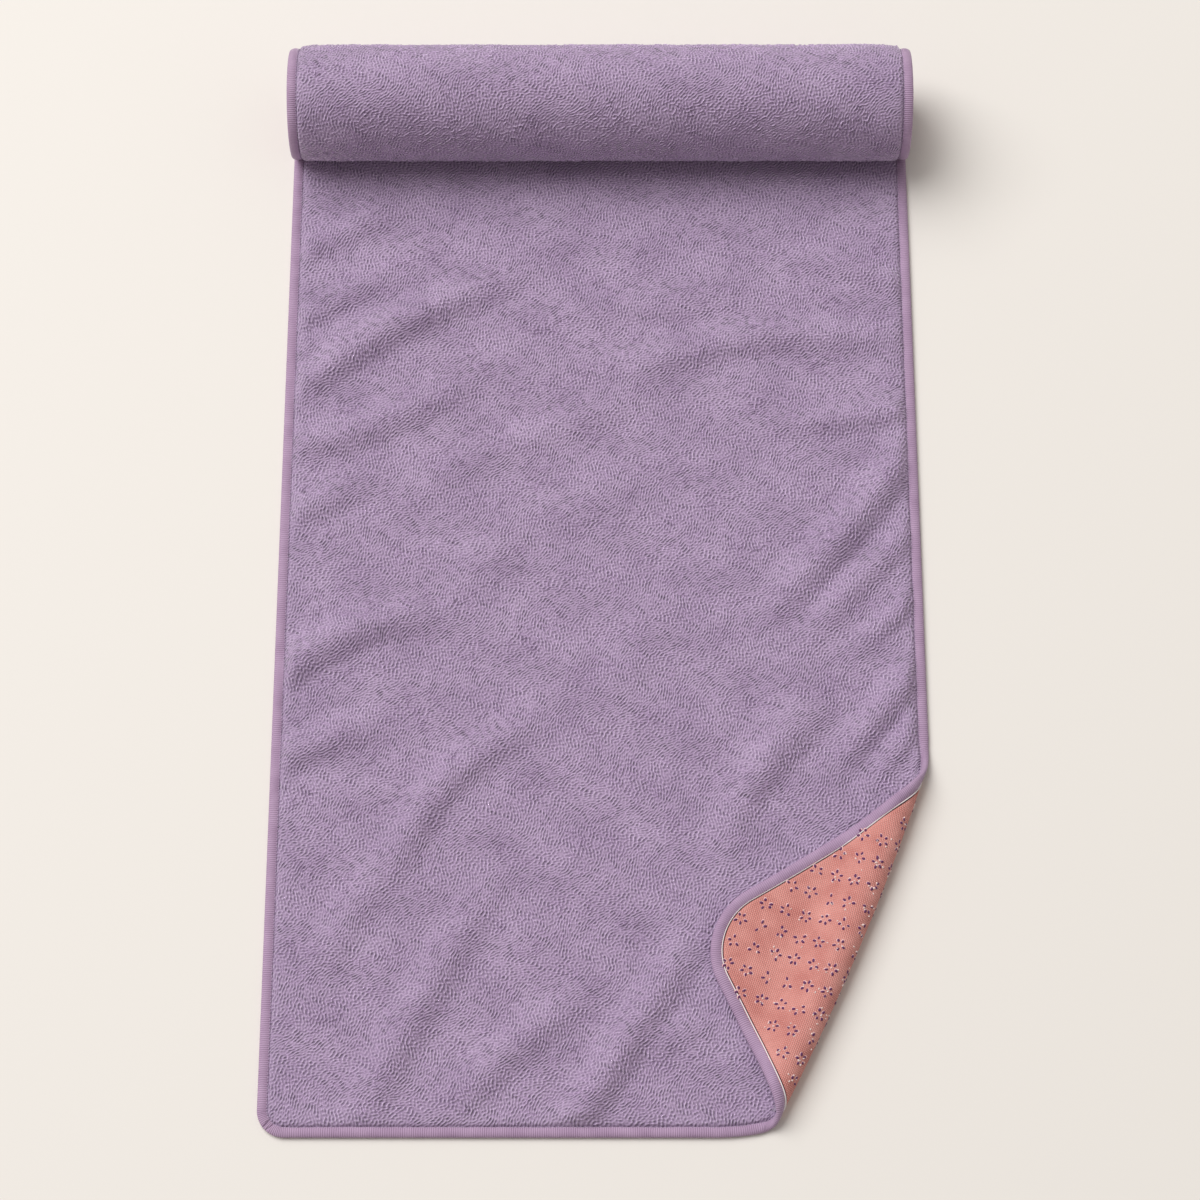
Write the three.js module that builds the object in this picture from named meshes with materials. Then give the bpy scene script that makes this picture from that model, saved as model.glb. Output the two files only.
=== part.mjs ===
// A yoga towel that lies terry side up, with its far end wound into a roll and its front
// right corner turned over. Lengths are in millimetres, Z is up, X runs across the towel
// and Y runs from its front edge to the roll.
//
// The cloth is drawn as it lies flat: x and y along it, and n through its thickness, from
// the grip side (n = 0) to the tips of the terry. lay() carries a point of that flat cloth
// to its place on the floor, with the wrinkles and the turned corner.

import * as THREE from "three";

// The towel as it is cut and sewn
const towelWidth = 610;
const towelLength = 1830;
const cornerRadius = 25;
const gripThick = 1.2;
const terryThick = 4.0;
const layerGap = 0.3;
const clothThick = gripThick + layerGap + terryThick;
const halfWidth = towelWidth / 2;

// The binding is a strip folded round the edge: two legs and a web
const bindingReach = 9.5;
const bindingThick = 4.9;
const legThick = 0.9;
const webThick = 1.4;
const seamGap = 0.45;
const pinchedGrip = 0.9;
const pinchedTerry = 0.85;
const puffReach = 4.5;

// The wound end
const rollRadius = 58.5;
const rollFromFront = 1022.3;
const turnPitch = 7.5;
const creaseRadius = 7;
const flatSpotSink = 0.4;
const shoulderDrop = 3;
const shoulderTurn = THREE.MathUtils.degToRad(70);
const jointFromFront = 976;

// The turned corner: the fold runs from the right edge down to the front edge
const foldTop = { x: 286, y: 332.5 };
const foldBottom = { x: 151.6, y: 25.5 };
const foldBow = 6;
const foldRadius = 11.5;
const foldOverturn = THREE.MathUtils.degToRad(22);
const settleRadius = 50;
const flapGap = 2.5;
const drawnCorner = { x: 371, y: 66.5, radius: 65 };
const frontBend = { x: 132, y: 0, radius: 220 };
const sideBend = { x: halfWidth, y: 355, radius: 250 };

// Wrinkles of the flat part: the crest from one end to the other, how high it stands and
// how far its flanks reach to each side
const wrinkles = [
  { crest: [[-290, 860], [-242, 886], [-193, 914]], height: 3.5, reach: 20 },
  { crest: [[-288, 813], [-235, 831], [-190, 850]], height: 3.5, reach: 18 },
  { crest: [[-292, 716], [-233, 759], [-156, 807], [-45, 875]], height: 8, reach: 26 },
  { crest: [[-285, 652], [-226, 670], [-178, 695], [-130, 716]], height: 4, reach: 22 },
  { crest: [[-285, 432], [-248, 448], [-205, 477], [-135, 492]], height: 6.5, reach: 24 },
  { crest: [[-282, 340], [-241, 364], [-198, 394]], height: 5, reach: 22 },
  { crest: [[-166, 275], [-136, 322], [-106, 356], [-60, 388]], height: 5.5, reach: 22 },
  { crest: [[-203, 14], [-165, 65], [-144, 106], [-99, 138]], height: 5, reach: 20 },
  { crest: [[-110, 33], [-67, 71], [-27, 106], [12, 136]], height: 4.5, reach: 20 },
  { crest: [[-20, 18], [22, 76], [58, 126], [86, 178]], height: 8, reach: 24 },
  { crest: [[-25, 733], [49, 745], [136, 768], [204, 769], [292, 766]], height: 5, reach: 24 },
  { crest: [[165, 686], [231, 688], [285, 700]], height: 3.5, reach: 18 },
  { crest: [[160, 490], [204, 543], [245, 584], [290, 638]], height: 8, reach: 24 },
  { crest: [[222, 340], [265, 381], [290, 424]], height: 4, reach: 20 },
  { crest: [[138, 318], [162, 361], [183, 398]], height: 4, reach: 20 },
];
const taperIn = 0.12;
const taperOut = 0.3;

// How finely the cloth is faceted: steps along it, the clearances between points, and the
// turn from one facet to the next
const meshStep = 38;
const gridClear = 0.62 * meshStep;
const wrinkleStep = 34;
const crestClear = 10;
const footClear = 12;
const crestSamples = 40;
const sliverArea = 0.5;
const outlineStep = 3;
const cornerSteps = 16;
const foldStretch = 7;
const foldMargin = 4;
const stationTurn = THREE.MathUtils.degToRad(20);
const windingTurn = THREE.MathUtils.degToRad(12);
const windingTurnGrowth = THREE.MathUtils.degToRad(4);
const creaseSteps = 7;

const terryColour = 0xa08cb4;
const gripColour = 0xd97f76;
const bindingColour = 0xa88abb;

const clamp = THREE.MathUtils.clamp;
const ease = (t) => THREE.MathUtils.smoothstep(t, 0, 1);

// Turned corner

const foldLength = Math.hypot(foldTop.x - foldBottom.x, foldTop.y - foldBottom.y);
const foldAlong = {
  x: (foldBottom.x - foldTop.x) / foldLength,
  y: (foldBottom.y - foldTop.y) / foldLength,
};
const foldOut = { x: -foldAlong.y, y: foldAlong.x };
const flapHeight = 2 * clothThick + flapGap;
const overAngle = Math.PI + foldOverturn;
const bendArc = foldRadius * overAngle;
const slopeDrop = foldRadius * (1 - Math.cos(overAngle))
  - settleRadius * (1 - Math.cos(foldOverturn)) - flapHeight;
const slopeArc = slopeDrop / Math.sin(foldOverturn);
const settleArc = settleRadius * foldOverturn;
const foldReach = bendArc + slopeArc + settleArc;

// Where a flat point stands against the fold: across it, from where the cloth leaves the
// floor, and along it from the right edge. The fold bows outward between its ends.
function foldPlace(x, y) {
  const along = (x - foldTop.x) * foldAlong.x + (y - foldTop.y) * foldAlong.y;
  const straight = (x - foldTop.x) * foldOut.x + (y - foldTop.y) * foldOut.y;
  const middle = 2 * clamp(along / foldLength, 0, 1) - 1;
  const bow = foldBow * (1 - middle * middle);
  return { along, across: straight - bow, bow };
}

// The fold's section: a bend past half a turn, a slope down and a bend back to level.
// Returns how far out and up the grip side lies after that much cloth, and its turn.
function foldSection(cloth) {
  if (cloth <= bendArc) {
    const turn = cloth / foldRadius;
    return { out: foldRadius * Math.sin(turn), up: foldRadius * (1 - Math.cos(turn)), turn };
  }
  const slope = clamp(cloth - bendArc, 0, slopeArc);
  const settle = clamp(cloth - bendArc - slopeArc, 0, settleArc);
  const level = Math.max(cloth - foldReach, 0);
  const left = foldOverturn - settle / settleRadius;
  const out = -foldRadius * Math.sin(foldOverturn) - slope * Math.cos(foldOverturn)
    - settleRadius * (Math.sin(foldOverturn) - Math.sin(left)) - level;
  const up = foldRadius * (1 - Math.cos(overAngle)) - slope * Math.sin(foldOverturn)
    - settleRadius * (Math.cos(left) - Math.cos(foldOverturn));
  return { out, up, turn: Math.PI + left };
}

// Wrinkles

// Each crest becomes a smooth curve, sampled so that the nearest point is quick to find
const crestCurves = wrinkles.map(({ crest, height, reach }) => {
  const curve = new THREE.CatmullRomCurve3(crest.map(([x, y]) => new THREE.Vector3(x, y, 0)));
  return { curve, samples: curve.getSpacedPoints(crestSamples), height, reach };
});

// Height of the wrinkles: each is a rounded ridge that fades out at both ends
function wrinkleLift(x, y) {
  let lift = 0;
  for (const { samples, height, reach } of crestCurves) {
    let nearest = Infinity;
    let share = 0;
    samples.forEach((point, index) => {
      const distance = Math.hypot(point.x - x, point.y - y);
      if (distance < nearest) {
        nearest = distance;
        share = index / (samples.length - 1);
      }
    });
    if (nearest < reach) {
      const ends = ease(share / taperIn) * ease((1 - share) / taperOut);
      lift += height * ends * 0.5 * (1 + Math.cos(Math.PI * nearest / reach));
    }
  }
  return lift;
}

function lay(x, y, n) {
  const { across, along, bow } = foldPlace(x, y);
  if (across <= 0) {
    return new THREE.Vector3(x, y, n + wrinkleLift(x, y));
  }
  const { out, up, turn } = foldSection(across);
  const reach = out + bow - n * Math.sin(turn);
  return new THREE.Vector3(
    foldTop.x + foldAlong.x * along + foldOut.x * reach,
    foldTop.y + foldAlong.y * along + foldOut.y * reach,
    up + n * Math.cos(turn),
  );
}

// Outline of the flat cloth

// Straight runs joined by round corners, from the back left down, across and up again
function outlinePoints() {
  const corners = [
    { x: -halfWidth, y: jointFromFront, radius: 0 },
    { x: -halfWidth, y: 0, radius: cornerRadius },
    frontBend,
    drawnCorner,
    sideBend,
    { x: halfWidth, y: jointFromFront, radius: 0 },
  ];
  const points = [];
  corners.forEach((corner, index) => {
    if (corner.radius === 0) {
      points.push(new THREE.Vector2(corner.x, corner.y));
      return;
    }
    const here = new THREE.Vector2(corner.x, corner.y);
    const before = new THREE.Vector2(corners[index - 1].x, corners[index - 1].y).sub(here);
    const after = new THREE.Vector2(corners[index + 1].x, corners[index + 1].y).sub(here);
    before.normalize();
    after.normalize();
    const half = Math.acos(clamp(before.dot(after), -1, 1)) / 2;
    const middle = before.clone().add(after).normalize();
    const centre = here.clone().addScaledVector(middle, corner.radius / Math.sin(half));
    const start = here.clone().addScaledVector(before, corner.radius / Math.tan(half));
    const sweep = (Math.PI - 2 * half) * Math.sign(before.cross(after) * -1);
    const arm = start.sub(centre);
    for (let step = 0; step <= cornerSteps; step += 1) {
      const turned = arm.clone().rotateAround(new THREE.Vector2(), sweep * step / cornerSteps);
      points.push(turned.add(centre));
    }
  });
  return points;
}

// A chart of the flat cloth, drawn out across the fold, so that an even mesh on the chart
// has short facets round the bend
function chart(x, y) {
  const { across, along } = foldPlace(x, y);
  const bent = clamp(across + foldMargin, 0, foldReach + 2 * foldMargin);
  return new THREE.Vector2(along, across + (foldStretch - 1) * bent);
}

// The flat point that the chart shows at this place
function unchart(along, stretched) {
  const drawn = stretched + foldMargin;
  const bent = clamp(drawn / foldStretch, 0, foldReach + 2 * foldMargin);
  const across = stretched - (foldStretch - 1) * bent;
  const middle = 2 * clamp(along / foldLength, 0, 1) - 1;
  const straight = across + foldBow * (1 - middle * middle);
  return {
    x: foldTop.x + foldAlong.x * along + foldOut.x * straight,
    y: foldTop.y + foldAlong.y * along + foldOut.y * straight,
  };
}

// Stations along the outline, closer together on the fold and on round corners. Each has
// its place and the direction into the cloth.
function outlineStations() {
  const corners = outlinePoints();
  const dense = [];
  for (let index = 0; index + 1 < corners.length; index += 1) {
    const run = corners[index].distanceTo(corners[index + 1]);
    const pieces = Math.ceil(run / outlineStep);
    for (let piece = 0; piece < pieces; piece += 1) {
      dense.push(corners[index].clone().lerp(corners[index + 1], piece / pieces));
    }
  }
  dense.push(corners.at(-1).clone());
  const headings = dense.map((_, index) => {
    const from = dense[Math.max(index - 1, 0)];
    const to = dense[Math.min(index + 1, dense.length - 1)];
    return to.clone().sub(from).normalize();
  });
  const costs = [0];
  for (let index = 1; index < dense.length; index += 1) {
    const here = chart(dense[index].x, dense[index].y);
    const last = chart(dense[index - 1].x, dense[index - 1].y);
    const turn = Math.acos(clamp(headings[index].dot(headings[index - 1]), -1, 1));
    costs.push(costs[index - 1] + here.distanceTo(last) / meshStep + turn / stationTurn);
  }
  const count = Math.ceil(costs.at(-1));
  const stations = [];
  let index = 0;
  for (let station = 0; station <= count; station += 1) {
    const cost = costs.at(-1) * station / count;
    while (index + 2 < dense.length && costs[index + 1] < cost) {
      index += 1;
    }
    const share = clamp((cost - costs[index]) / (costs[index + 1] - costs[index]), 0, 1);
    const place = dense[index].clone().lerp(dense[index + 1], share);
    const heading = headings[index].clone().lerp(headings[index + 1], share).normalize();
    stations.push({ place, inward: new THREE.Vector2(-heading.y, heading.x) });
  }
  stations[0].inward.set(1, 0);
  stations.at(-1).inward.set(-1, 0);
  return stations;
}

const stations = outlineStations();
const insetPoint = ({ place, inward }, inset) => place.clone().addScaledVector(inward, inset);

// Faceting

// Delaunay triangles of points on the chart, built up one point at a time
function triangulate(points) {
  const far = 1e5;
  const all = [...points, new THREE.Vector2(-far, -far), new THREE.Vector2(far, -far),
    new THREE.Vector2(0, far)];
  const circled = (a, b, c) => {
    const [p, q, r] = [all[a], all[b], all[c]];
    const doubled = 2 * (p.x * (q.y - r.y) + q.x * (r.y - p.y) + r.x * (p.y - q.y));
    const [ps, qs, rs] = [p.lengthSq(), q.lengthSq(), r.lengthSq()];
    const x = (ps * (q.y - r.y) + qs * (r.y - p.y) + rs * (p.y - q.y)) / doubled;
    const y = (ps * (r.x - q.x) + qs * (p.x - r.x) + rs * (q.x - p.x)) / doubled;
    return { corners: [a, b, c], x, y, reach: (p.x - x) ** 2 + (p.y - y) ** 2 };
  };
  let triangles = [circled(points.length, points.length + 1, points.length + 2)];
  points.forEach((point, index) => {
    const edges = new Map();
    const kept = [];
    for (const triangle of triangles) {
      const distance = (point.x - triangle.x) ** 2 + (point.y - triangle.y) ** 2;
      if (distance >= triangle.reach) {
        kept.push(triangle);
        continue;
      }
      const [a, b, c] = triangle.corners;
      for (const [from, to] of [[a, b], [b, c], [c, a]]) {
        if (!edges.delete(`${to},${from}`)) {
          edges.set(`${from},${to}`, [from, to]);
        }
      }
    }
    triangles = kept;
    for (const [from, to] of edges.values()) {
      triangles.push(circled(from, to, index));
    }
  });
  return triangles.map(({ corners }) => corners)
    .filter((corners) => corners.every((corner) => corner < points.length));
}

function insideOutline(point, outline) {
  let inside = false;
  outline.forEach((a, index) => {
    const b = outline[(index + 1) % outline.length];
    const spans = (a.y > point.y) !== (b.y > point.y);
    if (spans && point.x < (b.x - a.x) * (point.y - a.y) / (b.y - a.y) + a.x) {
      inside = !inside;
    }
  });
  return inside;
}

function outlineDistance(point, outline) {
  const gaps = outline.map((a, index) => {
    const along = outline[(index + 1) % outline.length].clone().sub(a);
    const share = clamp(point.clone().sub(a).dot(along) / along.lengthSq(), 0, 1);
    return a.clone().addScaledVector(along, share).distanceTo(point);
  });
  return Math.min(...gaps);
}

// Flat mesh of a panel: three rows of points follow the edge, at these insets, and the
// rest of the cloth is filled with points on the wrinkles and an even grid between them
const edgeInsets = [webThick + 0.6, bindingReach + 0.5, bindingReach + puffReach];
function panelMesh() {
  const rows = edgeInsets.map((inset) => stations.map((station) => ({
    flat: insetPoint(station, inset), inset,
  })));
  const innerRow = rows[2];
  const left = innerRow[0].flat.x;
  const right = innerRow.at(-1).flat.x;
  const backCount = Math.round((right - left) / meshStep);
  const back = [];
  for (let step = 1; step < backCount; step += 1) {
    const x = right + (left - right) * step / backCount;
    back.push({ flat: new THREE.Vector2(x, jointFromFront), inset: Infinity });
  }
  const rim = [...innerRow, ...back];
  const rimOutline = rim.map(({ flat }) => flat);
  const filled = [...rim];
  const charted = rim.map(({ flat }) => chart(flat.x, flat.y));
  const chartedRim = [...charted];
  const addInside = (x, y, clear) => {
    const flat = new THREE.Vector2(x, y);
    const mark = chart(x, y);
    const free = insideOutline(flat, rimOutline)
      && charted.every((other) => other.distanceTo(mark) > clear)
      && outlineDistance(mark, chartedRim) > clear;
    if (free) {
      filled.push({ flat, inset: Infinity });
      charted.push(mark);
    }
  };
  for (const { curve, reach } of crestCurves) {
    const count = Math.ceil(curve.getLength() / wrinkleStep);
    for (let step = 0; step <= count; step += 1) {
      const point = curve.getPointAt(step / count);
      const tangent = curve.getTangentAt(step / count);
      addInside(point.x, point.y, crestClear);
      addInside(point.x - tangent.y * reach, point.y + tangent.x * reach, footClear);
      addInside(point.x + tangent.y * reach, point.y - tangent.x * reach, footClear);
    }
  }
  const rowStep = meshStep * Math.sqrt(3) / 2;
  let shift = 0;
  for (let across = -towelLength; across < towelLength; across += rowStep) {
    for (let along = -towelLength; along < towelLength; along += meshStep) {
      const { x, y } = unchart(along + shift, across);
      addInside(x, y, gridClear);
    }
    shift = meshStep / 2 - shift;
  }
  const triangles = triangulate(charted).filter((corners) => {
    const [a, b, c] = corners.map((corner) => filled[corner].flat);
    const middle = a.clone().add(b).add(c).divideScalar(3);
    const area = b.clone().sub(a).cross(c.clone().sub(a)) / 2;
    return area > sliverArea && insideOutline(middle, rimOutline);
  });
  const outer = [...rows[0], ...rows[1]];
  const points = [...filled, ...outer];
  const count = stations.length;
  const rowStart = [filled.length, filled.length + count, 0];
  for (let row = 0; row < 2; row += 1) {
    for (let index = 0; index + 1 < count; index += 1) {
      const a = rowStart[row] + index;
      const b = rowStart[row + 1] + index;
      triangles.push([a, a + 1, b + 1], [a, b + 1, b]);
    }
  }
  return { points, triangles };
}

// Solids

function solid(name, places, triangles, colour) {
  let volume = 0;
  for (const [a, b, c] of triangles) {
    volume += places[a].dot(places[b].clone().cross(places[c])) / 6;
  }
  const faces = volume > 0 ? triangles : triangles.map(([a, b, c]) => [a, c, b]);
  const geometry = new THREE.BufferGeometry();
  geometry.setAttribute("position",
    new THREE.Float32BufferAttribute(places.flatMap((place) => place.toArray()), 3));
  geometry.setIndex(faces.flat());
  geometry.computeVertexNormals();
  const material = new THREE.MeshStandardMaterial({ color: colour, roughness: 0.95 });
  const mesh = new THREE.Mesh(geometry, material);
  mesh.name = name;
  return mesh;
}

// A panel between two faces, each given by its height in the cloth at an inset
function panel(name, flatMesh, lower, upper, colour) {
  const { points, triangles } = flatMesh;
  const place = (height) => ({ flat, inset }) => lay(flat.x, flat.y, height(inset));
  const places = [...points.map(place(lower)), ...points.map(place(upper))];
  const count = points.length;
  const faces = [];
  const edges = new Map();
  for (const [a, b, c] of triangles) {
    faces.push([a, c, b], [a + count, b + count, c + count]);
    for (const [from, to] of [[a, b], [b, c], [c, a]]) {
      if (!edges.delete(`${to},${from}`)) {
        edges.set(`${from},${to}`, [from, to]);
      }
    }
  }
  for (const [from, to] of edges.values()) {
    faces.push([from, to, to + count], [from, to + count, from + count]);
  }
  return solid(name, places, faces, colour);
}

// A closed section carried through a row of frames: frames[i][j] is where point j of the
// section lies at frame i. Facets are split the same way as the panels' edges, so that
// nested pieces keep their gap on a bend.
function carried(name, section, frames, colour) {
  const size = section.length;
  const faces = [];
  for (let frame = 0; frame + 1 < frames.length; frame += 1) {
    section.forEach((corner, index) => {
      const next = (index + 1) % size;
      const a = frame * size + index;
      const b = frame * size + next;
      if (section[next].x >= corner.x) {
        faces.push([a, a + size, b + size], [a, b + size, b]);
      } else {
        faces.push([a, a + size, b], [a + size, b + size, b]);
      }
    });
  }
  const caps = THREE.ShapeUtils.triangulateShape(section, []);
  const last = (frames.length - 1) * size;
  for (const [a, b, c] of caps) {
    faces.push([a, b, c], [last + a, last + c, last + b]);
  }
  return solid(name, frames.flat(), faces, colour);
}

// Heights of the two panels in the cloth. The binding pinches them together at the edge.
const channelFloor = legThick;
const gripEdge = channelFloor + seamGap;
const terryEdge = gripEdge + pinchedGrip + layerGap;
const channelTop = terryEdge + pinchedTerry + seamGap;
const fullness = (inset) => ease((inset - edgeInsets[1]) / puffReach);
const between = (edge, open) => (inset) => edge + (open - edge) * fullness(inset);
const gripUnder = between(gripEdge, 0);
const gripOver = between(gripEdge + pinchedGrip, gripThick);
const terryUnder = between(terryEdge, gripThick + layerGap);
const terryOver = between(terryEdge + pinchedTerry, clothThick);

const bindingSection = [
  { inset: bindingReach, height: 0 },
  { inset: bindingReach, height: channelFloor },
  { inset: webThick, height: channelFloor },
  { inset: webThick, height: channelTop },
  { inset: bindingReach, height: channelTop },
  { inset: bindingReach, height: bindingThick - 0.4 },
  { inset: 6.5, height: bindingThick },
  { inset: 3, height: bindingThick - 0.1 },
  { inset: 0.8, height: bindingThick - 1 },
  { inset: 0, height: bindingThick / 2 },
  { inset: 0.8, height: 1 },
  { inset: 3, height: 0 },
];

function edgeBinding() {
  const frames = stations.map((station) => bindingSection.map(({ inset, height }) => {
    const flat = insetPoint(station, inset);
    return lay(flat.x, flat.y, height);
  }));
  const section = bindingSection.map(({ inset, height }) => new THREE.Vector2(inset, height));
  return carried("edge_binding", section, frames, bindingColour);
}

// The wound end

// The cloth turns back on itself in a tight crease under the roll and runs up its front.
// The angle, from straight down towards the front, at which it meets the roll follows from
// the roll's second turn lying on the floor.
function meetingAngle() {
  let low = 0;
  let high = Math.PI / 2;
  for (let step = 0; step < 50; step += 1) {
    const angle = (low + high) / 2;
    const fromCrease = creaseRadius * (1 + Math.cos(angle))
      + (rollRadius - clothThick) * Math.cos(angle);
    const fromFloor = rollRadius - turnPitch * (1 - angle / (2 * Math.PI)) - flatSpotSink;
    if (fromCrease > fromFloor) {
      low = angle;
    } else {
      high = angle;
    }
  }
  return (low + high) / 2;
}

const meeting = meetingAngle();
const rollCentreUp = creaseRadius * (1 + Math.cos(meeting))
  + (rollRadius - clothThick) * Math.cos(meeting);
const creaseFromFront = rollFromFront - (rollRadius - clothThick + creaseRadius)
  * Math.sin(meeting);

// Stations of the wound cloth: the place of its grip side in the Y and Z plane, the
// direction towards the terry, and how far the roll's rounded ends are drawn in there
function windingStations() {
  const rows = [];
  const add = (y, z, towardsY, towardsZ, drawnIn) => {
    rows.push({ y, z, towardsY, towardsZ, drawnIn });
  };
  add(jointFromFront + layerGap, 0, 0, 1, 0);
  const creaseTurn = Math.PI - meeting;
  for (let step = 0; step <= creaseSteps; step += 1) {
    const turn = creaseTurn * step / creaseSteps;
    const [sine, cosine] = [Math.sin(turn), Math.cos(turn)];
    add(creaseFromFront + creaseRadius * sine, creaseRadius * (1 - cosine), -sine, cosine, 0);
  }
  const middle = clothThick / 2;
  let left = towelLength - creaseFromFront - (creaseRadius - middle) * creaseTurn;
  let angle = meeting;
  while (left > 0) {
    const wound = (angle - meeting) / (2 * Math.PI);
    const radius = rollRadius - clothThick - turnPitch * wound;
    const step = windingTurn + windingTurnGrowth * wound;
    const cloth = Math.min(step * (radius + middle), left);
    left -= cloth;
    angle += cloth / (radius + middle);
    const nextRadius = rollRadius - clothThick
      - turnPitch * (angle - meeting) / (2 * Math.PI);
    const [sine, cosine] = [Math.sin(angle), Math.cos(angle)];
    const lowest = rollCentreUp - (nextRadius + clothThick) * cosine;
    const flattened = Math.max(0, -lowest);
    add(rollFromFront - nextRadius * sine, rollCentreUp - nextRadius * cosine + flattened,
      -sine, -cosine, ease((angle - meeting) / shoulderTurn));
  }
  return rows;
}

// The cloth's section across the roll: full terry between its ends, and the binding's
// thinner rounded edge at each end, which sits a little deeper in the roll
const rollColumns = [
  { inset: 0, low: 1.3, high: 3.6, drop: shoulderDrop },
  { inset: 2, low: 0.2, high: 4.7, drop: shoulderDrop },
  { inset: bindingReach, low: 0, high: 4.9, drop: shoulderDrop * 0.8 },
  { inset: bindingReach + 5, low: 0, high: 5.4, drop: 0.6 },
  { inset: 40, low: 0, high: clothThick, drop: 0 },
];

function woundEnd() {
  const leftSide = rollColumns.map((column) => ({ x: column.inset - halfWidth, ...column }));
  const rightSide = rollColumns.map((column) => ({ x: halfWidth - column.inset, ...column }));
  const columns = [...leftSide, ...rightSide.reverse()];
  const section = [
    ...columns.map(({ x, low, drop }) => ({ x, n: low, drop })),
    ...columns.map(({ x, high, drop }) => ({ x, n: high, drop })).reverse(),
  ];
  const frames = windingStations().map(({ y, z, towardsY, towardsZ, drawnIn }) => (
    section.map(({ x, n, drop }) => {
      const out = n - drop * drawnIn;
      return new THREE.Vector3(x, y + out * towardsY, z + out * towardsZ);
    })
  ));
  const outline = section.map(({ x, n }) => new THREE.Vector2(x, n));
  return carried("rolled_end", outline, frames, terryColour);
}

// The towel, with its origin under the middle of its box

const towel = new THREE.Group();
const flatMesh = panelMesh();
towel.add(panel("terry_face", flatMesh, terryUnder, terryOver, terryColour));
towel.add(panel("grip_backing", flatMesh, gripUnder, gripOver, gripColour));
towel.add(edgeBinding());
towel.add(woundEnd());

const middleOfTowel = new THREE.Box3().setFromObject(towel).getCenter(new THREE.Vector3());
towel.position.set(-middleOfTowel.x, -middleOfTowel.y, 0);

export default towel;
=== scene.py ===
"""A rolled yoga towel: towelling, grip backing and binding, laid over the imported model."""

import bpy
import numpy as np
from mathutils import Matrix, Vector


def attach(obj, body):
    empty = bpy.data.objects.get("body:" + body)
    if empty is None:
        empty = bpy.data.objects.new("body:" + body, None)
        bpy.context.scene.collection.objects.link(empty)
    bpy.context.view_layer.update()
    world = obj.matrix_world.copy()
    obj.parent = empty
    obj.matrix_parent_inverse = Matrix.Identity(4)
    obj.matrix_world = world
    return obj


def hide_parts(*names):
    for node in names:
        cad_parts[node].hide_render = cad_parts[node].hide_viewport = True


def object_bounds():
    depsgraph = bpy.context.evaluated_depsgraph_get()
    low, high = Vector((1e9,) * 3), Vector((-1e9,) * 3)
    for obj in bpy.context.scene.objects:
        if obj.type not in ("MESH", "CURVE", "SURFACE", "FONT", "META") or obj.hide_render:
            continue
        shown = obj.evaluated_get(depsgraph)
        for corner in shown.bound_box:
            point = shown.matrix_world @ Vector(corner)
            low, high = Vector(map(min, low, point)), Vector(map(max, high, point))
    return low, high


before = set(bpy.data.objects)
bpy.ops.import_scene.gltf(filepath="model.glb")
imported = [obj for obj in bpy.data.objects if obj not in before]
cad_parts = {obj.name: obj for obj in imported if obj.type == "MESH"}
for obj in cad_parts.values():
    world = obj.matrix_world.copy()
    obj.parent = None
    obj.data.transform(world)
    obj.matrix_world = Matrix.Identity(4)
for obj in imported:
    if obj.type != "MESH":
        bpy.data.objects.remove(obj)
cad_box = [list(corner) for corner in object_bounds()]

# Towelling
# The top of the towel is a lilac microfibre cloth of short curled loops, cut to 610 by
# 1830 mm. It lies flat, with its right front corner turned over and its far end wound up.

towel_width = 610.0
towel_length = 1830.0
half_width = towel_width / 2
cloth_thick = 5.5

# The turned corner: its fold line on the floor, the bend, and the slope behind it
fold_top = np.array([286.0, 332.5])
fold_bottom = np.array([151.6, 25.5])
fold_bow = 6.0
fold_radius = 11.5
fold_overturn = np.radians(22)
settle_radius = 50.0
flap_height = 13.5

fold_length = np.hypot(*(fold_bottom - fold_top))
fold_along = (fold_bottom - fold_top) / fold_length
fold_out = np.array([-fold_along[1], fold_along[0]])
over_angle = np.pi + fold_overturn
bend_start = 1.0
bend_fade = 1.6
bend_samples = 400
bend_run = np.linspace(0, 1, bend_samples)
bend_turn = over_angle * (1 - (1 - bend_run) ** bend_fade)
bend_way = (bend_turn[1:] + bend_turn[:-1]) / 2
bend_out = np.r_[0, np.cumsum(np.cos(bend_way))] / (bend_samples - 1)
bend_up = np.r_[0, np.cumsum(np.sin(bend_way))] / (bend_samples - 1)
bend_rise = fold_radius * (1 - np.cos(over_angle))
bend_cloth = bend_rise / bend_up[-1]
slope_drop = bend_rise - settle_radius * (1 - np.cos(fold_overturn)) - flap_height
slope_cloth = slope_drop / np.sin(fold_overturn)
settle_cloth = settle_radius * fold_overturn

# The roll, and how far its ends draw in at these depths from the cloth's sides
roll_radius = 58.5
roll_from_front = 1022.3
turn_pitch = 7.5
crease_radius = 7.0
flat_spot_sink = 0.4
shoulder_turn = np.radians(70)
shoulder_depth = [0, 2, 9.5, 12, 16, 24, 40]
shoulder_drop = [3, 3, 2.5, 1.6, 0.7, 0.15, 0]
roll_bump = 0.3


def ease(share):
    """Smooth step: 3 s^2 - 2 s^3 for s held between 0 and 1."""
    held = np.clip(share, 0, 1)
    return held * held * (3 - 2 * held)


def fold_place(x, y):
    """Place of a flat point against the fold: along = (p - top).a and
    across = (p - top).o - bow, with bow = fold_bow (1 - (2 along / length - 1)^2)."""
    along = (x - fold_top[0]) * fold_along[0] + (y - fold_top[1]) * fold_along[1]
    straight = (x - fold_top[0]) * fold_out[0] + (y - fold_top[1]) * fold_out[1]
    middle = 2 * np.clip(along / fold_length, 0, 1) - 1
    bow = fold_bow * (1 - middle * middle)
    return along, straight - bow, bow


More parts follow.
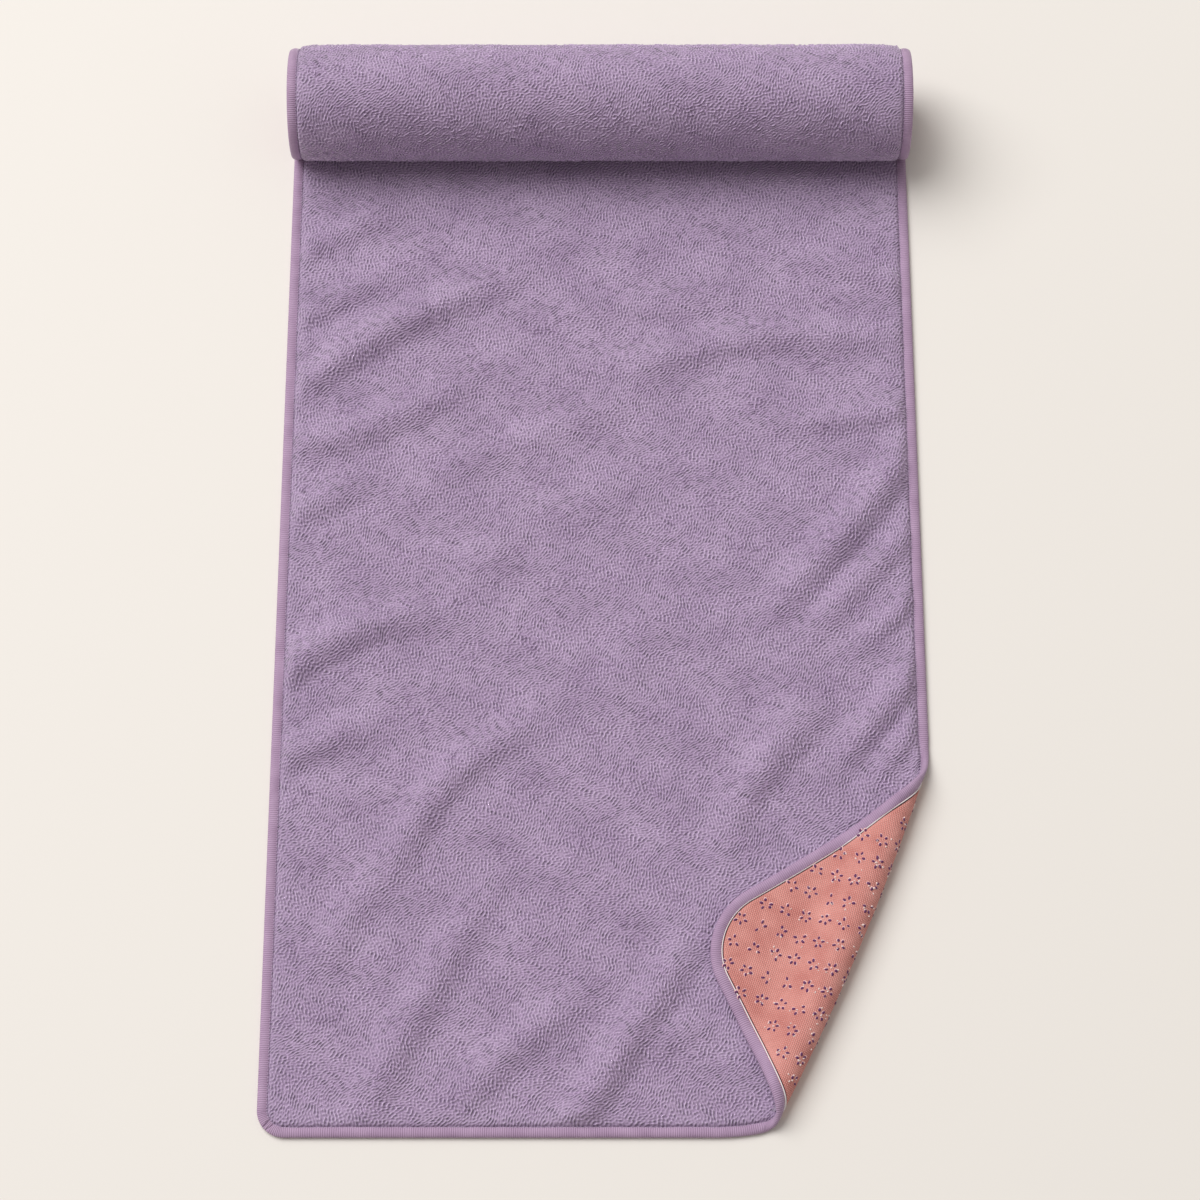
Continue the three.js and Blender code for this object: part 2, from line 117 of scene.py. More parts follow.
def fold_section(cloth):
    """Section across the fold: a bend whose heading is a (1 - (1 - s)^f) along its length,
    so it is tight at the floor and eases off on top, then a straight slope at the overturn,
    an arc of the settle radius back to level, then level."""
    first = np.clip(cloth, 0, bend_start)
    bent = np.clip((cloth - bend_start) / bend_cloth, 0, 1)
    rest = cloth - bend_start - bend_cloth
    slope = np.clip(rest, 0, slope_cloth)
    settle = np.clip(rest - slope_cloth, 0, settle_cloth)
    level = np.clip(rest - slope_cloth - settle_cloth, 0, None)
    left = fold_overturn - settle / settle_radius
    out = (first + bend_cloth * np.interp(bent, bend_run, bend_out)
           - slope * np.cos(fold_overturn) - level
           - settle_radius * (np.sin(fold_overturn) - np.sin(left)))
    up = (bend_cloth * np.interp(bent, bend_run, bend_up) - slope * np.sin(fold_overturn)
          - settle_radius * (np.cos(left) - np.cos(fold_overturn)))
    return out, up, np.where(rest <= 0, np.interp(bent, bend_run, bend_turn), np.pi + left)


# Wrinkles: the crest of each from its stronger end, its height and its reach
wrinkles = [
    ([(-345, 846), (-282, 883), (-228, 913), (-165, 950)], 5.7, 25),
    ([(-345, 772), (-279, 812), (-238, 835), (-180, 864)], 6.3, 22),
    ([(-330, 752), (-248, 789), (-190, 806)], 4.2, 17),
    ([(-350, 704), (-273, 745), (-210, 789), (-142, 825), (-40, 876)], 12.1, 29),
    ([(-350, 652), (-275, 673), (-215, 691), (-163, 716), (-80, 756)], 8.4, 28),
    ([(-340, 576), (-250, 617), (-200, 641)], 6.3, 24),
    ([(-350, 410), (-281, 448), (-239, 473), (-195, 489), (-110, 480)], 11.6, 29),
    ([(-345, 333), (-279, 359), (-243, 373), (-185, 398)], 8.4, 26),
    ([(-205, 220), (-172, 283), (-137, 334), (-105, 361), (-35, 408)], 9.9, 28),
    ([(-262, 130), (-221, 211), (-180, 270)], 5.2, 27),
    ([(-225, -15), (-172, 99), (-141, 157), (-78, 272)], 8.4, 29),
    ([(-150, 0), (-67, 88), (20, 145)], 7.3, 28),
    ([(-50, -35), (28, 92), (59, 142), (88, 196), (100, 225)], 11.6, 29),
    ([(96, 215), (117, 274), (140, 335), (160, 371), (178, 411), (201, 489)], 4.8, 30),
    ([(90, 775), (-34, 691), (-128, 650), (-230, 540)], 4.2, 30),
    ([(345, 774), (294, 778), (224, 786), (156, 784), (57, 762), (-70, 765)], 8.4, 27),
    ([(345, 717), (292, 706), (222, 696), (130, 690)], 6.8, 22),
    ([(345, 818), (296, 840), (249, 859), (170, 872)], 6.3, 22),
    ([(160, 828), (26, 818), (-70, 808)], 3.7, 25),
    ([(335, 700), (288, 651), (238, 585), (196, 537), (140, 462)], 12.5, 29),
    ([(330, 615), (285, 568), (232, 513), (170, 440)], 6.3, 22),
    ([(330, 545), (285, 501), (220, 443)], 6.3, 18),
    ([(330, 480), (286, 426), (250, 384), (200, 310)], 9.4, 24),
    ([(225, 428), (170, 361), (118, 290)], 6.8, 27),
    ([(325, 432), (292, 384), (235, 305)], 5.2, 18),
    ([(42, 60), (70, 92), (112, 80)], 4.2, 22),
    ([(-70, 560), (-20, 610), (60, 650)], 2.6, 38),
    ([(-20, 380), (40, 470), (70, 560)], 2.6, 38),
    ([(-150, 500), (-90, 570), (-50, 650)], 2.6, 36),
]
crest_samples = 48
crest_skew = 0.1


def crest_curve(points):
    """Curve through the points: each coordinate is a polynomial of the length along them,
    of as low a degree as passes through all of them."""
    points = np.array(points, float)
    run = np.r_[0, np.cumsum(np.hypot(*np.diff(points, axis=0).T))]
    share = np.linspace(0, 1, crest_samples)
    degree = len(points) - 1
    fits = [np.polyfit(run / run[-1], points[:, axis], degree) for axis in (0, 1)]
    return np.stack([np.polyval(fit, share) for fit in fits], axis=1)


crest_curves = [(crest_curve(points), height, reach) for points, height, reach in wrinkles]


def waves(x, y, longest, shortest, count, seed):
    """Uneven surface: the mean of count sines of random direction and phase, with
    wavelengths between the two given, scaled to stay mostly within -1 and 1."""
    draw = np.random.default_rng(seed)
    total = np.zeros(np.broadcast(x, y).shape)
    for _ in range(count):
        length = draw.uniform(shortest, longest)
        way, phase = draw.uniform(0, 2 * np.pi, 2)
        total += np.sin(2 * np.pi * (x * np.cos(way) + y * np.sin(way)) / length + phase)
    return total * np.sqrt(1 / count)


wrinkle_lean = np.array([-0.588, 0.809])
crest_start_share = 0.32
crest_end_share = 0.45
swell_height = 0.6
pucker_height = 0.8
pucker_reach = 34
tape_clear = 6
tape_fade = 15
fold_fade = 14


def wrinkle_lift(x, y):
    """Height of the flat cloth: the sum over the crests of h (1 + cos(pi d / reach)) / 2,
    faded at both ends. The reach is longer on the side that the wrinkles lean away from.
    A slow swell and puckers along the sides are added, and all of it fades out at the tape
    and at the turned corner."""
    side = half_width - np.abs(x)
    swell = waves(x, y, longest=190, shortest=70, count=12, seed=5)
    puckers = waves(0 * x, y + 0.5 * x, longest=70, shortest=26, count=9, seed=6)
    lift = swell_height * (1 + np.clip(swell, -1, 1))
    lift += pucker_height * (1 + np.clip(puckers, -1, 1)) * np.exp(-side / pucker_reach)
    for samples, height, reach in crest_curves:
        widest = reach * (1 + crest_skew)
        low, high = samples.min(axis=0) - widest, samples.max(axis=0) + widest
        near = (x > low[0]) & (x < high[0]) & (y > low[1]) & (y < high[1])
        if not near.any():
            continue
        off_x, off_y = x[near][:, None] - samples[:, 0], y[near][:, None] - samples[:, 1]
        apart = np.hypot(off_x, off_y)
        nearest = apart.argmin(axis=1)
        rows = np.arange(len(nearest))
        distance = apart[rows, nearest]
        lean = ((off_x[rows, nearest] * wrinkle_lean[0] + off_y[rows, nearest]
                 * wrinkle_lean[1]) / np.maximum(distance, 0.01))
        along_reach = reach * (1 + crest_skew * lean)
        share = nearest / (crest_samples - 1)
        ends = ease(share / crest_start_share) * ease((1 - share) / crest_end_share)
        bell = 0.5 * (1 + np.cos(np.pi * np.minimum(distance / along_reach, 1)))
        lift[near] += height * ends * bell
    clear_of_tape = ease((np.minimum(side, y) - tape_clear) / tape_fade)
    clear_of_fold = ease(-fold_place(x, y)[1] / fold_fade)
    return lift * clear_of_tape * clear_of_fold


def meeting_angle():
    """Angle from straight down at which the creased cloth meets the roll, found by halving:
    there the height from the crease equals the height of the roll's second turn."""
    low, high = 0.0, np.pi / 2
    for _ in range(50):
        angle = (low + high) / 2
        from_crease = (crease_radius * (1 + np.cos(angle))
                       + (roll_radius - cloth_thick) * np.cos(angle))
        from_floor = roll_radius - turn_pitch * (1 - angle / (2 * np.pi)) - flat_spot_sink
        if from_crease > from_floor:
            low = angle
        else:
            high = angle
    return (low + high) / 2


meeting = meeting_angle()
roll_centre_up = (crease_radius * (1 + np.cos(meeting))
                  + (roll_radius - cloth_thick) * np.cos(meeting))
crease_from_front = roll_from_front - ((roll_radius - cloth_thick + crease_radius)
                                       * np.sin(meeting))
crease_cloth = (crease_radius - cloth_thick / 2) * (np.pi - meeting)


def wound(x, y, n):
    """Cloth past the crease, at thickness n: half a turn back, then a spiral round the
    roll's middle of radius R - t - pitch a / 2 pi, with the roll's ends drawn in."""
    past = y - crease_from_front
    turn = np.clip(past / (crease_radius - cloth_thick / 2), 0, np.pi - meeting)
    spun = np.clip(past - crease_cloth, 0, None)
    middle = roll_radius - cloth_thick / 2
    inner = np.sqrt(np.maximum(middle ** 2 - turn_pitch * spun / np.pi, 0))
    wound_turn = (middle - inner) * 2 * np.pi / turn_pitch
    angle = meeting + wound_turn
    radius = roll_radius - cloth_thick - turn_pitch * wound_turn / (2 * np.pi)
    lowest = roll_centre_up - (radius + cloth_thick) * np.cos(angle)
    side = half_width - np.abs(x)
    settled = ease(wound_turn / shoulder_turn)
    out = n - np.interp(side, shoulder_depth, shoulder_drop) * settled
    on_roll = past > crease_cloth
    bumps = roll_bump * waves(x, y, longest=160, shortest=40, count=10, seed=8) * settled
    out = out + np.where(on_roll, bumps, 0)
    start_y = np.where(on_roll, roll_from_front - radius * np.sin(angle),
                       crease_from_front + crease_radius * np.sin(turn))
    start_z = np.where(on_roll, roll_centre_up - radius * np.cos(angle)
                       + np.maximum(0, -lowest), crease_radius * (1 - np.cos(turn)))
    toward_y = np.where(on_roll, -np.sin(angle), -np.sin(turn))
    toward_z = np.where(on_roll, -np.cos(angle), np.cos(turn))
    return np.stack([x, start_y + out * toward_y, start_z + out * toward_z], axis=-1)


crease_clear = 30
crease_fade = 25


def laid(x, y, n):
    """Where a point of the flat cloth lies, in metres: x across, y from the front edge and
    n from the grip side up. Flat cloth, turned corner and wound end each have a formula,
    and nothing sinks below the floor."""
    x, y, n = (np.array(part, float) for part in np.broadcast_arrays(x, y, n))
    along, across, bow = fold_place(x, y)
    out, up, turn = fold_section(np.maximum(across, 0))
    reach = out + bow - n * np.sin(turn)
    corner = np.stack([fold_top[0] + fold_along[0] * along + fold_out[0] * reach,
                       fold_top[1] + fold_along[1] * along + fold_out[1] * reach,
                       up + n * np.cos(turn)], axis=-1)
    before_crease = 1 - ease((y - crease_from_front + crease_clear) / crease_fade)
    level = np.stack([x, y, n + wrinkle_lift(x, y) * before_crease], axis=-1)
    place = np.where((across > 0)[..., None], corner, level)
    place = np.where((y > crease_from_front)[..., None], wound(x, y, n), place)
    place[..., 2] = np.maximum(place[..., 2], 0)
    front_left = np.array([cad_box[0][0], cad_box[0][1], 0]) + [half_width / 1000, 0, 0]
    return place / 1000 + front_left


arc_points = 60


def rounded(corners):
    """Path of straight runs joined by arcs: an arc of radius r is centred r / sin(half)
    from its corner, half being half the corner's angle."""
    path = []
    for index, (x, y, radius) in enumerate(corners):
        here = np.array([x, y], float)
        if radius == 0:
            path.append(here[None])
            continue
        before = np.array(corners[index - 1][:2], float) - here
        after = np.array(corners[index + 1][:2], float) - here
        before /= np.hypot(*before)
        after /= np.hypot(*after)
        half = np.arccos(np.clip(before @ after, -1, 1)) / 2
        middle = (before + after) / np.hypot(*(before + after))
        centre = here + middle * radius / np.sin(half)
        start = here + before * radius / np.tan(half) - centre
        way = -np.sign(before[0] * after[1] - before[1] * after[0])
        turn = way * (np.pi - 2 * half) * np.linspace(0, 1, arc_points)
        path.append(centre + np.stack([start[0] * np.cos(turn) - start[1] * np.sin(turn),
                                       start[0] * np.sin(turn) + start[1] * np.cos(turn)], 1))
    return np.concatenate(path)


# The cut edge, from the back left round the front to the back right. The turned corner is
# drawn out by the pull on it.
edge_path = rounded([(-half_width, towel_length, 0), (-half_width, 0, 25), (132, 0, 220),
                     (371, 66.5, 65), (half_width, 355, 250), (half_width, towel_length, 0)])
path_run = np.r_[0, np.cumsum(np.hypot(*np.diff(edge_path, axis=0).T))]
edge_step = 0.5
edge_run = np.arange(0, path_run[-1], edge_step)
edge_x = np.interp(edge_run, path_run, edge_path[:, 0])
edge_y = np.interp(edge_run, path_run, edge_path[:, 1])
edge_turn = np.unwrap(np.arctan2(np.gradient(edge_y), np.gradient(edge_x)))
smoothing = 13
edge_turn = np.convolve(np.pad(edge_turn, smoothing // 2, mode="edge"),
                        np.ones(smoothing) / smoothing, mode="valid")


def edge_spots(run, inset):
    """Flat points at these lengths along the cut edge and these depths into the cloth:
    p + inset (-sin h, cos h), h being the edge's heading."""
    heading = np.interp(run, edge_run, edge_turn)
    return np.stack([np.interp(run, edge_run, edge_x) - inset * np.sin(heading),
                     np.interp(run, edge_run, edge_y) + inset * np.cos(heading)], axis=-1)


# Where the even rows of the panels start, at both sides. The left side's samples are
# taken backwards for 1000 mm, so that their y rises.
joint_from_front = 976.0
left_side = slice(int(1000 / edge_step), None, -1)
left_joint = np.interp(joint_from_front, edge_y[left_side], edge_run[left_side])
right_joint = edge_run[-1] - (towel_length - joint_from_front)

# The front corners are where the edge's heading passes these angles
left_corner_heading = np.radians(-45)
right_corner_heading = np.radians(59)
left_corner = edge_run[np.argmax(edge_turn > left_corner_heading)]
right_corner = edge_run[np.argmax(edge_turn > right_corner_heading)]

# Cloth of the roll's outer turn, which has the finer rows, and the rows at the inner end
outer_turn_cloth = 400
end_clear = 12
end_rows = np.array([9, 6, 4, 2.5, 2])


def panel_grid(step, inner_step, insets):
    """Flat points and quads of a panel. Inside the last inset it is a patch stretched
    between its four sides, P = (1-v) F + v B + (1-u) L + u R - corners; outside it, rows
    follow the edge at the other insets."""
    rim = insets[-1]
    rows = int(round((left_corner - left_joint) / step))
    columns = int(round((right_corner - left_corner) / step))
    v = np.linspace(0, 1, rows + 1)[:, None]
    u = np.linspace(0, 1, columns + 1)[None, :]
    left_run = left_corner + (left_joint - left_corner) * v[:, 0]
    right_run = right_corner + (right_joint - right_corner) * v[:, 0]
    front_run = left_corner + (right_corner - left_corner) * u[0]
    left = edge_spots(left_run, rim)
    right = edge_spots(right_run, rim)
    front = edge_spots(front_run, rim)
    back = left[-1] + (right[-1] - left[-1]) * u[0][:, None]
    u, v = u[..., None], v[..., None]
    patch = ((1 - v) * front[None] + v * back[None] + (1 - u) * left[:, None]
             + u * right[:, None]
             - (1 - u) * (1 - v) * left[0] - u * (1 - v) * right[0]
             - (1 - u) * v * left[-1] - u * v * right[-1])
    outer_turn = joint_from_front + outer_turn_cloth
    wound_y = np.r_[np.arange(joint_from_front + step, outer_turn, step),
                    np.arange(outer_turn, towel_length - end_clear, inner_step),
                    towel_length - end_rows]
    far = np.stack(np.broadcast_arrays(back[None, :, 0], wound_y[:, None]), axis=-1)
    inner = np.concatenate([patch, far])
    index = np.arange(inner.shape[0] * inner.shape[1]).reshape(inner.shape[:2])
    far_left = left_joint - (wound_y - joint_from_front)
    far_right = right_joint + (wound_y - joint_from_front)
    run = np.r_[far_left[::-1], left_run[::-1], front_run[1:-1], right_run, far_right]
    rim_index = np.r_[index[::-1, 0], index[0, 1:-1], index[:, -1]]
    border = edge_spots(run[:, None], np.array(insets[:-1])[None, :])
    border_index = index.size + np.arange(border.shape[0] * border.shape[1])
    border_index = np.column_stack([border_index.reshape(border.shape[:2]), rim_index])
    flat = np.concatenate([inner.reshape(-1, 2), border.reshape(-1, 2)])
    faces = np.concatenate([quads(index)[:, ::-1], quads(border_index)])
    depth = np.concatenate([edge_depth(inner.reshape(-1, 2)),
                            np.tile(insets[:-1], len(run))])
    return flat, faces, depth


def quads(index):
    """Four-cornered faces of a grid of point numbers."""
    return np.stack([index[:-1, :-1], index[1:, :-1], index[1:, 1:], index[:-1, 1:]],
                    axis=-1).reshape(-1, 4)


deepest = 60.0
front_band = 130
right_band = 200
thinning = 16
batches = 24


def edge_depth(flat):
    """Distance of flat points from the cut edge, held at the deepest further in. Near the
    edge it is taken to the nearest of every sixteenth sample, in batches."""
    coarse = np.stack([edge_x[::thinning], edge_y[::thinning]], axis=1)
    depth = np.minimum.reduce([flat[:, 0] + half_width, half_width + deepest - flat[:, 0],
                               flat[:, 1], np.full(len(flat), deepest)])
    close = ((flat[:, 0] + half_width < deepest) | (flat[:, 1] < front_band)
             | (flat[:, 0] > right_band))
    for part in np.array_split(np.flatnonzero(close), batches):
        apart = np.hypot(flat[part, 0][:, None] - coarse[:, 0],
                         flat[part, 1][:, None] - coarse[:, 1])
        depth[part] = np.minimum(apart.min(axis=1), deepest)
    return depth


def make_piece(name, places, faces, flat=None):
    """A smooth mesh of these places in metres and faces. flat gives each point's place in
    the flat cloth, which becomes the UV map, in metres."""
    mesh = bpy.data.meshes.new(name)
    mesh.from_pydata(places, [], faces)
    mesh.shade_smooth()
    if flat is not None:
        corners = np.empty(len(mesh.loops), np.int32)
        mesh.loops.foreach_get("vertex_index", corners)
        layer = mesh.uv_layers.new(name="flat_cloth")
        layer.data.foreach_set("uv", (flat[corners] / 1000).astype(np.float32).ravel())
    piece = bpy.data.objects.new(name, mesh)
    bpy.context.scene.collection.objects.link(piece)
    return piece


def add_node(tree, kind, inputs=None, **settings):
    """A shader node with these settings. inputs gives a value or an output for a socket."""
    made = tree.nodes.new(kind)
    for name, value in settings.items():
        setattr(made, name, value)
    for name, value in (inputs or {}).items():
        if isinstance(value, bpy.types.NodeSocket):
            tree.links.new(value, made.inputs[name])
        else:
            made.inputs[name].default_value = value
    return made


def new_material(name, roughness, sheen, sheen_tint):
    """A material with its own finish, and the flat cloth's place in millimetres."""
    material = bpy.data.materials.new(name)
    material.use_nodes = True
    tree = material.node_tree
    shader = tree.nodes["Principled BSDF"]
    shader.inputs["Roughness"].default_value = roughness
    shader.inputs["Specular IOR Level"].default_value = 0.2
    shader.inputs["Sheen Weight"].default_value = sheen
    shader.inputs["Sheen Roughness"].default_value = 0.35
    shader.inputs["Sheen Tint"].default_value = (*sheen_tint, 1)
    place = add_node(tree, "ShaderNodeUVMap", uv_map="flat_cloth")
    scaled = add_node(tree, "ShaderNodeVectorMath", {0: place.outputs[0],
                                                     1: (1000, 1000, 1000)},
                      operation="MULTIPLY")
    return material, tree, shader, scaled.outputs[0]


def ramp(tree, value, stops):
    """A colour ramp over value with (position, colour) stops."""
    made = add_node(tree, "ShaderNodeValToRGB", {"Fac": value})
    for spot, (position, colour) in enumerate(stops):
        if spot > 1:
            made.color_ramp.elements.new(position)
        made.color_ramp.elements[spot].position = position
        made.color_ramp.elements[spot].color = (*colour, 1)
    return made.outputs["Color"]


def math_node(tree, operation, first, second=0.0):
    """The result of one sum on two values or outputs."""
    return add_node(tree, "ShaderNodeMath", {0: first, 1: second},
                    operation=operation).outputs[0]


# Ridges of the pile: fine waves that run mostly across the lie of the loops, over places
# that three slow waves have pushed sideways first
pile_draw = np.random.default_rng(12)
ridge_count = 14
pile_lie = 0.85
ridge_way = pile_lie + np.pi / 2 + pile_draw.normal(0, 0.52, ridge_count)
ridge_wave = 2 * np.pi / pile_draw.uniform(2.45, 3.5, ridge_count)
ridge_phase = pile_draw.uniform(0, 2 * np.pi, ridge_count)
push_way = pile_draw.uniform(0, 2 * np.pi, 3)
push_phase = pile_draw.uniform(0, 2 * np.pi, 3)
push_wave = 2 * np.pi / np.array([83.0, 52.0, 33.0])
push_far = np.array([5.0, 3.0, 1.6])


def pile_ridges(x, y):
    """Sum of the sines of k.p + phase over sqrt(half their number), p being the place
    after each slow wave has moved it by far sin(q.p + phase) at right angles to q."""
    for way, wave, far, phase in zip(push_way, push_wave, push_far, push_phase):
        swing = far * np.sin(wave * (x * np.cos(way) + y * np.sin(way)) + phase)
        x, y = x - swing * np.sin(way), y + swing * np.cos(way)
    total = 0
    for way, wave, phase in zip(ridge_way, ridge_wave, ridge_phase):
        total = total + np.sin(wave * (x * np.cos(way) + y * np.sin(way)) + phase)
    return total / np.sqrt(ridge_count / 2)


def wave_node(tree, place, way, wave, phase):
    """sin(k.p + phase) as nodes."""
    dot = add_node(tree, "ShaderNodeVectorMath",
                   {0: place, 1: (wave * np.cos(way), wave * np.sin(way), 0)},
                   operation="DOT_PRODUCT").outputs["Value"]
    return math_node(tree, "SINE", math_node(tree, "ADD", dot, phase))


def ridge_nodes(tree, place):
    """The sum of pile_ridges as nodes, from the flat cloth's place in millimetres."""
    for way, wave, far, phase in zip(push_way, push_wave, push_far, push_phase):
        swing = add_node(tree, "ShaderNodeVectorMath",
                         {0: wave_node(tree, place, way, wave, phase),
                          1: (-far * np.sin(way), far * np.cos(way), 0)},
                         operation="MULTIPLY").outputs[0]
        place = add_node(tree, "ShaderNodeVectorMath", {0: place, 1: swing},
                         operation="ADD").outputs[0]
    total = 0.0
    for way, wave, phase in zip(ridge_way, ridge_wave, ridge_phase):
        total = math_node(tree, "ADD", wave_node(tree, place, way, wave, phase), total)
    return math_node(tree, "MULTIPLY", total, 1 / np.sqrt(ridge_count / 2))


ridge_bump = 0.27
tuft_bump = 0.5
# Painted light and shade: the ridges' share of the tone makes the tops lighter and the
# hollows between them darker.
ridge_painted_shade = 0.17
drift_tone = 0.4
base_tone = 0.3


def terry_material(name, lift):
    """Loops lying over in worm-like ridges, painted lighter on top and darker between as
    painted light and shade, over a slow drift of colour. lift lightens the whole; it is
    painted light, higher for the curls than for the ground between them, which is painted
    shade."""
    material, tree, shader, place = new_material(name, 0.95, 1.0, (0.9, 0.78, 0.95))
    drift = add_node(tree, "ShaderNodeTexNoise", {"Vector": place, "Scale": 0.02,
                                                  "Detail": 3.0})
    ridges = ridge_nodes(tree, place)
    tufts = add_node(tree, "ShaderNodeTexNoise", {"Vector": place, "Scale": 0.7,
                                                  "Detail": 2.0, "Roughness": 0.6})
    height = math_node(tree, "ADD", math_node(tree, "MULTIPLY", ridges, ridge_bump),
                       math_node(tree, "MULTIPLY", tufts.outputs["Fac"], tuft_bump))
    # The ridges' share of the tone paints the tops lighter and the hollows darker: painted
    # light and shade.
    tone = math_node(tree, "ADD", math_node(tree, "MULTIPLY", ridges, ridge_painted_shade),
                     math_node(tree, "MULTIPLY", drift.outputs["Fac"], drift_tone))
    tone = math_node(tree, "ADD", tone, base_tone)
    shades = [(0.15, (0.27, 0.19, 0.315)), (0.5, (0.45, 0.33, 0.495)),
              (0.85, (0.62, 0.49, 0.675))]
    colour = ramp(tree, tone, [(spot, tuple(lift * part for part in shade))
                               for spot, shade in shades])
    tree.links.new(colour, shader.inputs["Base Color"])
    bump = add_node(tree, "ShaderNodeBump", {"Height": height, "Strength": 1.0,
                                             "Distance": 0.001})
    tree.links.new(bump.outputs[0], shader.inputs["Normal"])
    return material


# The pile stands up beside the tape, which holds the cloth's edge down
terry_insets = [2, 9.7, 10.0, 10.6, 11.6, 13.0, 14.5]
terry_flat, terry_faces, terry_depth = panel_grid(step=3.5, inner_step=7.5,
                                                  insets=terry_insets)
terry_height = np.interp(terry_depth, [*terry_insets, 24],
                         [3.4, 3.4, 3.9, 4.9, 5.6, 5.9, 5.9, cloth_thick])
pile_bump = 0.18
terry_height += (pile_bump * (terry_depth > 12)
                 * waves(*terry_flat.T, longest=34, shortest=11, count=14, seed=3))
# At the inner end of the roll the two cloths come together
terry_height = np.minimum(terry_height, np.interp(
    towel_length - terry_flat[:, 1], [2, 2.5, 4, 6, 9, 12], [2.6, 3.6, 4.7, 5.3, 5.8, 9]))
terry = make_piece("terry_cloth", laid(*terry_flat.T, terry_height), terry_faces, terry_flat)
# Painted shade: the ground between the curls gets a darker copy of the towelling's colour.
terry.data.materials.append(terry_material("terry_ground", 0.9))
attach(terry, "root")
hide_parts("terry_face", "rolled_end")

# Terry curls
# The loops of the pile lie over as short curled strands about 1.2 mm wide, along the tops
# of its ridges. They are made wherever the towelling shows.


def strands(name, middle, half_wide, low, high):
    """Rounded strands: three rails p - w m, p, p + w m, with m across the strand's middle
    line p, at heights low, high and low in the cloth. Arrays run strand by station."""
    heading = np.gradient(middle, axis=1)
    heading /= np.maximum(np.hypot(heading[..., 0], heading[..., 1]), 0.001)[..., None]
    across = np.stack([-heading[..., 1], heading[..., 0]], axis=-1) * half_wide[..., None]
    flat = np.stack([middle - across, middle, middle + across], axis=2)
    heights = np.stack([low, high, low], axis=2)
    count, stations = middle.shape[:2]
    index = np.arange(heights.size).reshape(count, stations, 3)
    faces = np.stack([index[:, :-1, :-1], index[:, 1:, :-1], index[:, 1:, 1:],
                      index[:, :-1, 1:]], axis=-1).reshape(-1, 4)
    places = laid(flat[..., 0], flat[..., 1], heights)
    return make_piece(name, places.reshape(-1, 3), faces, flat.reshape(-1, 2))


def crest_step(x, y, heading):
    """Points moved towards the nearest ridge top by -slope / curvature across the ridge,
    both from differences over a near step, with the ridge's heading there."""
    near, farthest, least_bend = 0.35, 0.4, 0.5
    here = pile_ridges(x, y)
    right, left = pile_ridges(x + near, y), pile_ridges(x - near, y)
    ahead, behind = pile_ridges(x, y + near), pile_ridges(x, y - near)
    slanted = pile_ridges(x + near, y + near) + pile_ridges(x - near, y - near)
    bend_x = (right + left - 2 * here) / near ** 2
    bend_y = (ahead + behind - 2 * here) / near ** 2
    twist = (slanted + 2 * here - right - left - ahead - behind) / (2 * near ** 2)
    along = np.arctan2(2 * twist, bend_x - bend_y) / 2
    along = np.where(np.cos(along - heading) < 0, along + np.pi, along)
    slope = (-(right - left) * np.sin(along) + (ahead - behind) * np.cos(along)) / (2 * near)
    sharp = (bend_x + bend_y) / 2 - np.hypot((bend_x - bend_y) / 2, twist)
    move = np.clip(slope / np.maximum(-sharp, least_bend), -farthest, farthest)
    return x - move * np.sin(along), y + move * np.cos(along), along


curl_spacing = 4.0
curl_climbs = 5
curl_clear = 10.5
curl_root = 0.25


def pile_curls(name, low_y, high_y, seed):
    """Curls from a shaken square grid of starts: each start climbs to its ridge, and two
    strides along the ridge either way give the strand's five stations."""
    draw = np.random.default_rng(seed)
    x, y = np.meshgrid(np.arange(-half_width, half_width, curl_spacing),
                       np.arange(low_y, high_y, curl_spacing))
    x = (x + draw.uniform(-0.5, 0.5, x.shape) * curl_spacing).ravel()
    y = (y + draw.uniform(-0.5, 0.5, y.shape) * curl_spacing).ravel()
    stride = draw.uniform(1.4, 2.4, x.shape)
    half_wide = draw.uniform(0.45, 0.72, x.shape)
    rise = draw.uniform(0.2, 1.15, x.shape)
    thicker = np.clip(waves(x, y, longest=70, shortest=18, count=12, seed=41), -1.5, 1.5)
    rise *= 1 + 0.35 * thicker
    heading = np.full(x.shape, pile_lie)
    for _ in range(curl_climbs):
        x, y, heading = crest_step(x, y, heading)
    stations = [(x, y)]
    for turned in (heading, heading + np.pi):
        far_x, far_y = x, y
        for _ in range(2):
            turned = turned + draw.normal(0, 0.2, x.shape)
            far_x, far_y, turned = crest_step(far_x + stride * np.cos(turned),
                                              far_y + stride * np.sin(turned), turned)
            stations.append((far_x, far_y))
    middle = np.stack([np.stack(stations[spot], axis=-1) for spot in (4, 3, 0, 1, 2)], axis=1)
    depth = edge_depth(middle.reshape(-1, 2)).reshape(len(x), 5).min(axis=1)
    across = fold_place(middle[..., 0], middle[..., 1])[1].max(axis=1)
    shows = ((depth > curl_clear) & (across < 0) & (middle[..., 1].min(axis=1) > curl_clear)
             & (np.abs(middle[..., 0]).max(axis=1) < half_width - curl_clear))
    middle, half_wide, rise = middle[shows], half_wide[shows], rise[shows]
    swell = np.sqrt(1 - 0.92 * np.linspace(-1, 1, 5) ** 2)[None]
    rise = np.clip(rise, 0.15, None)[:, None] * swell
    low = np.full(rise.shape, cloth_thick - curl_root)
    piece = strands(name, middle, half_wide[:, None] * swell, low, cloth_thick + rise)
    piece.data.materials.append(curl_finish)
    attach(piece, "root")
    return piece


